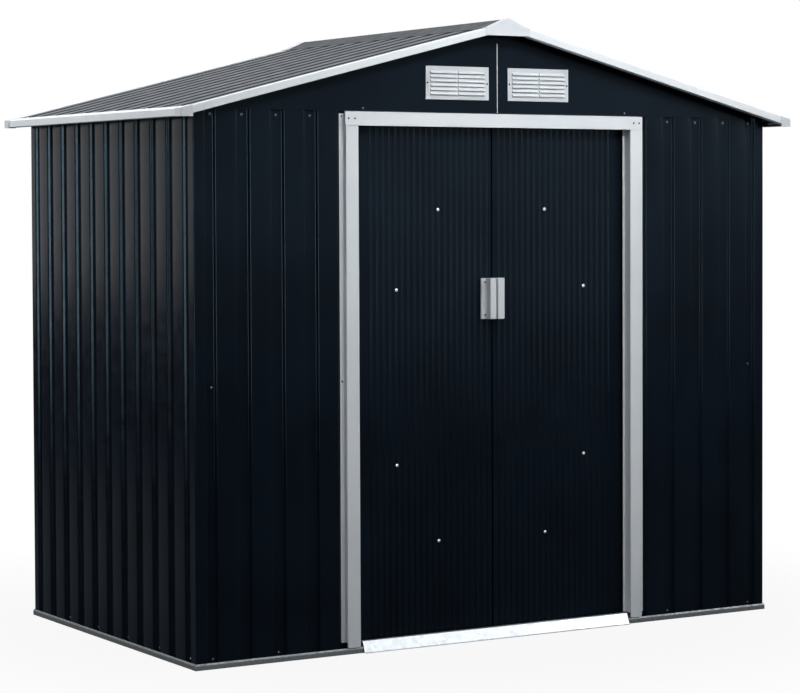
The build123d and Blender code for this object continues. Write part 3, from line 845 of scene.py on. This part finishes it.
@dataclass
class Screws:
    """Dome-head screws with a washer, set on their spots by one geometry tree."""

    outfitter: Outfitter
    sides: int = 12
    rings: int = 6
    seed: int = 7
    smooth_angle: float = math.radians(50)
    facing_name: str = "facing"

    def tree(self) -> bpy.types.NodeTree:
        """Builds the geometry tree that sets a screw on every point.

        Returns:
            The tree, with named inputs for the sizes and the material.
        """
        tree = bpy.data.node_groups.new("dome_head_screws", "GeometryNodeTree")
        tree.interface.new_socket("Geometry", in_out="INPUT", socket_type="NodeSocketGeometry")
        tree.interface.new_socket("Geometry", in_out="OUTPUT", socket_type="NodeSocketGeometry")
        for name in ScrewKind.PLATED.value.sizes():
            tree.interface.new_socket(name, in_out="INPUT", socket_type="NodeSocketFloat")
        tree.interface.new_socket("Material", in_out="INPUT", socket_type="NodeSocketMaterial")
        given = add_node(tree, "NodeGroupInput").outputs
        washer = add_node(tree, "GeometryNodeMeshCylinder", {
            "Vertices": self.sides, "Radius": given["Washer Radius"], "Depth": given["Washer Height"]})
        ball = add_node(tree, "GeometryNodeMeshUVSphere", {
            "Segments": self.sides, "Rings": self.rings, "Radius": 1.0})
        dome = add_node(tree, "ShaderNodeCombineXYZ", {
            "X": given["Head Radius"], "Y": given["Head Radius"], "Z": given["Head Height"]})
        head = add_node(tree, "GeometryNodeTransform", {
            "Geometry": ball.outputs["Mesh"], "Scale": dome.outputs[0]})
        crossed = []
        for first, second in (("Head Radius", "Recess Width"), ("Recess Width", "Head Radius")):
            size = add_node(tree, "ShaderNodeCombineXYZ", {
                "X": given[first], "Y": given[second], "Z": given["Head Height"]})
            bar = add_node(tree, "GeometryNodeMeshCube", {"Size": size.outputs[0]})
            lift = add_node(tree, "ShaderNodeCombineXYZ", {"Z": given["Head Height"]})
            crossed.append(add_node(tree, "GeometryNodeTransform", {
                "Geometry": bar.outputs["Mesh"], "Translation": lift.outputs[0]}).outputs[0])
        recess = add_node(tree, "GeometryNodeMeshBoolean", {
            "Mesh 1": head.outputs[0], "Mesh 2": crossed[0]}, operation="DIFFERENCE")
        tree.links.new(crossed[1], recess.inputs["Mesh 2"])
        screw = add_node(tree, "GeometryNodeJoinGeometry", {"Geometry": washer.outputs["Mesh"]})
        tree.links.new(recess.outputs["Mesh"], screw.inputs["Geometry"])
        facing = add_node(tree, "GeometryNodeInputNamedAttribute", {"Name": self.facing_name},
                          data_type="FLOAT_VECTOR")
        aligned = add_node(tree, "FunctionNodeAlignRotationToVector", {
            "Vector": facing.outputs[0]}, axis="Z")
        spin = add_node(tree, "FunctionNodeRandomValue", {"Seed": self.seed}, data_type="FLOAT")
        turn = add_node(tree, "ShaderNodeMath", {0: spin.outputs[1], 1: math.pi}, operation="MULTIPLY")
        about = add_node(tree, "FunctionNodeAxisAngleToRotation", {"Angle": turn.outputs[0]})
        turned = add_node(tree, "FunctionNodeRotateRotation", {
            "Rotation": aligned.outputs[0], "Rotate By": about.outputs[0]}, rotation_space="LOCAL")
        points = add_node(tree, "GeometryNodeMeshToPoints", {"Mesh": given["Geometry"]})
        placed = add_node(tree, "GeometryNodeInstanceOnPoints", {
            "Points": points.outputs[0], "Instance": screw.outputs[0], "Rotation": turned.outputs[0]})
        real = add_node(tree, "GeometryNodeRealizeInstances", {"Geometry": placed.outputs[0]})
        dressed = add_node(tree, "GeometryNodeSetMaterial", {
            "Geometry": real.outputs[0], "Material": given["Material"]})
        add_node(tree, "NodeGroupOutput", {"Geometry": dressed.outputs[0]})
        return tree

    def build(self, found: list[tuple[ScrewKind, str, Spot]]) -> None:
        """Makes one piece of screws for each kind and body.

        Args:
            found: Every screw's kind, body and spot.
        """
        tree = self.tree()
        groups = {(kind, body) for kind, body, _ in found}
        for kind, body in sorted(groups, key=lambda group: (group[0].name, group[1])):
            spots = [spot for its_kind, its_body, spot in found if (its_kind, its_body) == (kind, body)]
            mesh = bpy.data.meshes.new(f"{body}_{kind.name.lower()}_screws")
            style = kind.value
            mesh.from_pydata([spot.place + spot.facing * style.washer_height / 2 for spot in spots], [], [])
            facing = mesh.attributes.new(self.facing_name, "FLOAT_VECTOR", "POINT")
            facing.data.foreach_set("vector", [value for spot in spots for value in spot.facing])
            piece = bpy.data.objects.new(mesh.name, mesh)
            bpy.context.scene.collection.objects.link(piece)
            modifier = piece.modifiers.new("screws", "NODES")
            modifier.node_group = tree
            inputs = {item.name: item.identifier for item in tree.interface.items_tree
                      if item.in_out == "INPUT"}
            for name, value in style.sizes().items():
                modifier[inputs[name]] = value
            modifier[inputs["Material"]] = self.outfitter.material(style.finish)
            plain_mesh(piece)
            piece.data.shade_smooth()
            piece.data.set_sharp_from_angle(angle=self.smooth_angle)
            self.outfitter.settle(piece, body, style.slot)


@dataclass(frozen=True)
class Lamp:
    """A soft rectangular lamp: its place, the point it looks at, its size, watts and beam."""

    name: str
    place: tuple[float, float, float]
    aim: tuple[float, float, float]
    size: tuple[float, float]
    power: float
    spread: float = math.pi
    only_mirrored: bool = False


LAMPS = (
    Lamp("key_lamp", (3.75, -2.95, 2.42), (0.2, -0.6, 1.3), (1.7, 1.3), 52.0),
    Lamp("top_lamp", (0.15, -1.5, 3.75), (0.0, -0.5, 1.4), (3.2, 1.5), 32.0),
    Lamp("front_lamp", (0.4, -3.3, 3.3), (0.0, -0.6, 1.75), (2.0, 0.9), 13.5, spread=math.radians(66)),
    Lamp("left_lamp", (-3.5, -0.3, 4.0), (-1.0, 0.1, 1.4), (2.0, 1.2), 86.0),
    Lamp("right_lamp", (4.8, 1.7, 2.2), (1.0, 0.0, 0.8), (2.4, 1.5), 130.0),
    Lamp("rear_lamp", (-2.4, 3.6, 4.0), (0.0, 0.6, 0.9), (2.6, 1.5), 130.0),
    # Shows in the gloss alone, so that the flanks of the folds catch a sheen
    Lamp("sheen_panel", (-4.6, -4.4, 2.0), (-0.4, -0.4, 1.5), (1.2, 3.2), 300.0, only_mirrored=True),
)


@dataclass
class Studio:
    """White studio: floor, soft lamps, white surroundings and the photograph's camera."""

    image_width: int = 800
    sensor: float = 36.0
    focal_pixels: float = 2574.0
    place: tuple[float, float, float] = (-4.099, -7.089, 1.305)
    yaw: float = math.radians(32.50)
    pitch: float = math.radians(1.87)
    roll: float = math.radians(-0.15)
    shift_pixels: tuple[float, float] = (110.0, -60.0)
    floor_size: float = 60.0
    surround_level: float = 0.07
    surround_colour: str = "dfeaf8"
    floor_glow: float = 0.92
    floor_clear: tuple[float, float] = (0.9, 2.3)
    floor_colour: str = "747474"
    inner_colour: str = "b4b4b4"

    def build(self) -> None:
        """Sets up the floor, the surroundings, the lamps and the camera."""
        self.floor()
        self.surroundings()
        for lamp in LAMPS:
            self.hang(lamp)
        self.camera()
        bpy.context.scene.view_settings.view_transform = "Standard"

    def floor(self) -> None:
        """Makes the pale floor, which shows white round the shed and stays plain within its walls."""
        half = self.floor_size / 2
        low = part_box("front_base_rail")[0]
        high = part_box("rear_base_rail")[1]
        outer = [(-half, -half, 0), (half, -half, 0), (half, half, 0), (-half, half, 0)]
        inner = [(low.x, low.y, 0), (high.x, low.y, 0), (high.x, high.y, 0), (low.x, high.y, 0)]
        around = [(place, (place + 1) % 4, (place + 1) % 4 + 4, place + 4) for place in range(4)]
        mesh = bpy.data.meshes.new("studio_floor")
        mesh.from_pydata(outer + inner, [], [(4, 5, 6, 7)] + around)
        for face in mesh.polygons:
            face.material_index = min(face.index, 1)
        for name, colour, glows in (("matt_floor_inside", self.inner_colour, False),
                                    ("matt_white_floor", self.floor_colour, True)):
            mesh.materials.append(self.floor_paint(name, colour, glows))
        floor = bpy.data.objects.new("studio_floor", mesh)
        bpy.context.scene.collection.objects.link(floor)

    def floor_paint(self, name: str, colour: str, glows: bool) -> bpy.types.Material:
        """Makes a floor's material.

        Args:
            name: The material's name.
            colour: Its colour.
            glows: Whether it shows white to the eye, a little less near the shed, where it takes the shadow.
        Returns:
            The material.
        """
        material = bpy.data.materials.new(name)
        material.use_nodes = True
        tree = material.node_tree
        tree.nodes.clear()
        surface = add_node(tree, "ShaderNodeBsdfDiffuse", {"Color": linear(colour)}).outputs[0]
        if glows:
            place = add_node(tree, "ShaderNodeTexCoord").outputs["Object"]
            reach = add_node(tree, "ShaderNodeVectorMath", {0: place}, operation="LENGTH").outputs["Value"]
            clear = add_node(tree, "ShaderNodeMapRange", {
                "Value": reach, "From Min": self.floor_clear[0], "From Max": self.floor_clear[1],
                "To Min": self.floor_glow, "To Max": 1.0}, interpolation_type="SMOOTHSTEP").outputs[0]
            seen = add_node(tree, "ShaderNodeLightPath").outputs["Is Camera Ray"]
            share = add_node(tree, "ShaderNodeMath", {0: clear, 1: seen}, operation="MULTIPLY").outputs[0]
            glow = add_node(tree, "ShaderNodeEmission", {"Color": (1, 1, 1, 1), "Strength": 1.0})
            surface = add_node(tree, "ShaderNodeMixShader", {
                0: share, 1: surface, 2: glow.outputs[0]}).outputs[0]
        add_node(tree, "ShaderNodeOutputMaterial", {"Surface": surface})
        return material

    def surroundings(self) -> None:
        """Makes the surroundings: white to the eye and in reflections, and a plain soft light otherwise."""
        world = bpy.data.worlds.new("white_studio")
        bpy.context.scene.world = world
        world.use_nodes = True
        tree = world.node_tree
        tree.nodes.clear()
        path = add_node(tree, "ShaderNodeLightPath").outputs
        mirrored = add_node(tree, "ShaderNodeMath", {
            0: path["Is Glossy Ray"], 1: path["Is Transmission Ray"]}, operation="MAXIMUM").outputs[0]
        seen = add_node(tree, "ShaderNodeMath", {
            0: path["Is Camera Ray"], 1: mirrored}, operation="MAXIMUM").outputs[0]
        soft = add_node(tree, "ShaderNodeBackground", {
            "Color": linear(self.surround_colour), "Strength": self.surround_level})
        white = add_node(tree, "ShaderNodeBackground", {"Color": (1, 1, 1, 1), "Strength": 1.0})
        mixed = add_node(tree, "ShaderNodeMixShader", {0: seen, 1: soft.outputs[0], 2: white.outputs[0]})
        add_node(tree, "ShaderNodeOutputWorld", {"Surface": mixed.outputs[0]})

    def hang(self, lamp: Lamp) -> None:
        """Hangs one soft lamp, out of the camera's sight.

        Args:
            lamp: Its place, size and light.
        """
        data = bpy.data.lights.new(lamp.name, "AREA")
        data.shape = "RECTANGLE"
        data.size, data.size_y = lamp.size
        data.energy = lamp.power
        data.spread = lamp.spread
        hung = bpy.data.objects.new(lamp.name, data)
        hung.location = lamp.place
        hung.rotation_euler = (Vector(lamp.aim) - Vector(lamp.place)).to_track_quat("-Z", "Y").to_euler()
        hung.visible_camera = False
        hung.visible_diffuse = not lamp.only_mirrored
        bpy.context.scene.collection.objects.link(hung)

    def camera(self) -> None:
        """Sets the camera at the photograph's viewing angle."""
        ahead = Vector((math.sin(self.yaw) * math.cos(self.pitch), math.cos(self.yaw) * math.cos(self.pitch),
                        -math.sin(self.pitch)))
        right = Vector((math.cos(self.yaw), -math.sin(self.yaw), 0.0))
        up = right.cross(ahead)
        rolled_right = right * math.cos(self.roll) + up * math.sin(self.roll)
        rolled_up = up * math.cos(self.roll) - right * math.sin(self.roll)
        data = bpy.data.cameras.new("photo_camera")
        data.sensor_fit = "HORIZONTAL"
        data.sensor_width = self.sensor
        data.lens = self.focal_pixels / self.image_width * self.sensor
        data.shift_x = -self.shift_pixels[0] / self.image_width
        data.shift_y = self.shift_pixels[1] / self.image_width
        camera = bpy.data.objects.new("photo_camera", data)
        turn = Matrix((rolled_right, rolled_up, -ahead)).transposed().to_4x4()
        camera.matrix_world = Matrix.Translation(self.place) @ turn
        bpy.context.scene.collection.objects.link(camera)
        bpy.context.scene.camera = camera


def main() -> None:
    """Builds the shed's sub-assemblies in order, then the studio."""
    logging.basicConfig(level=logging.INFO, format="%(name)s: %(message)s")
    outfitter = Outfitter()
    assemblies: list[SubAssembly] = [Walls(outfitter), Roof(outfitter), Trims(outfitter),
                                     Mouldings(outfitter), SteelFrame(outfitter)]
    for side in SIDES:
        assemblies += [SlidingDoor(outfitter, side=side), DoorHandle(outfitter, side=side)]
    found = []
    for assembly in assemblies:
        assembly.build()
        found += assembly.screws()
    Screws(outfitter).build(found)
    Studio().build()


if __name__ == "__main__":
    main()
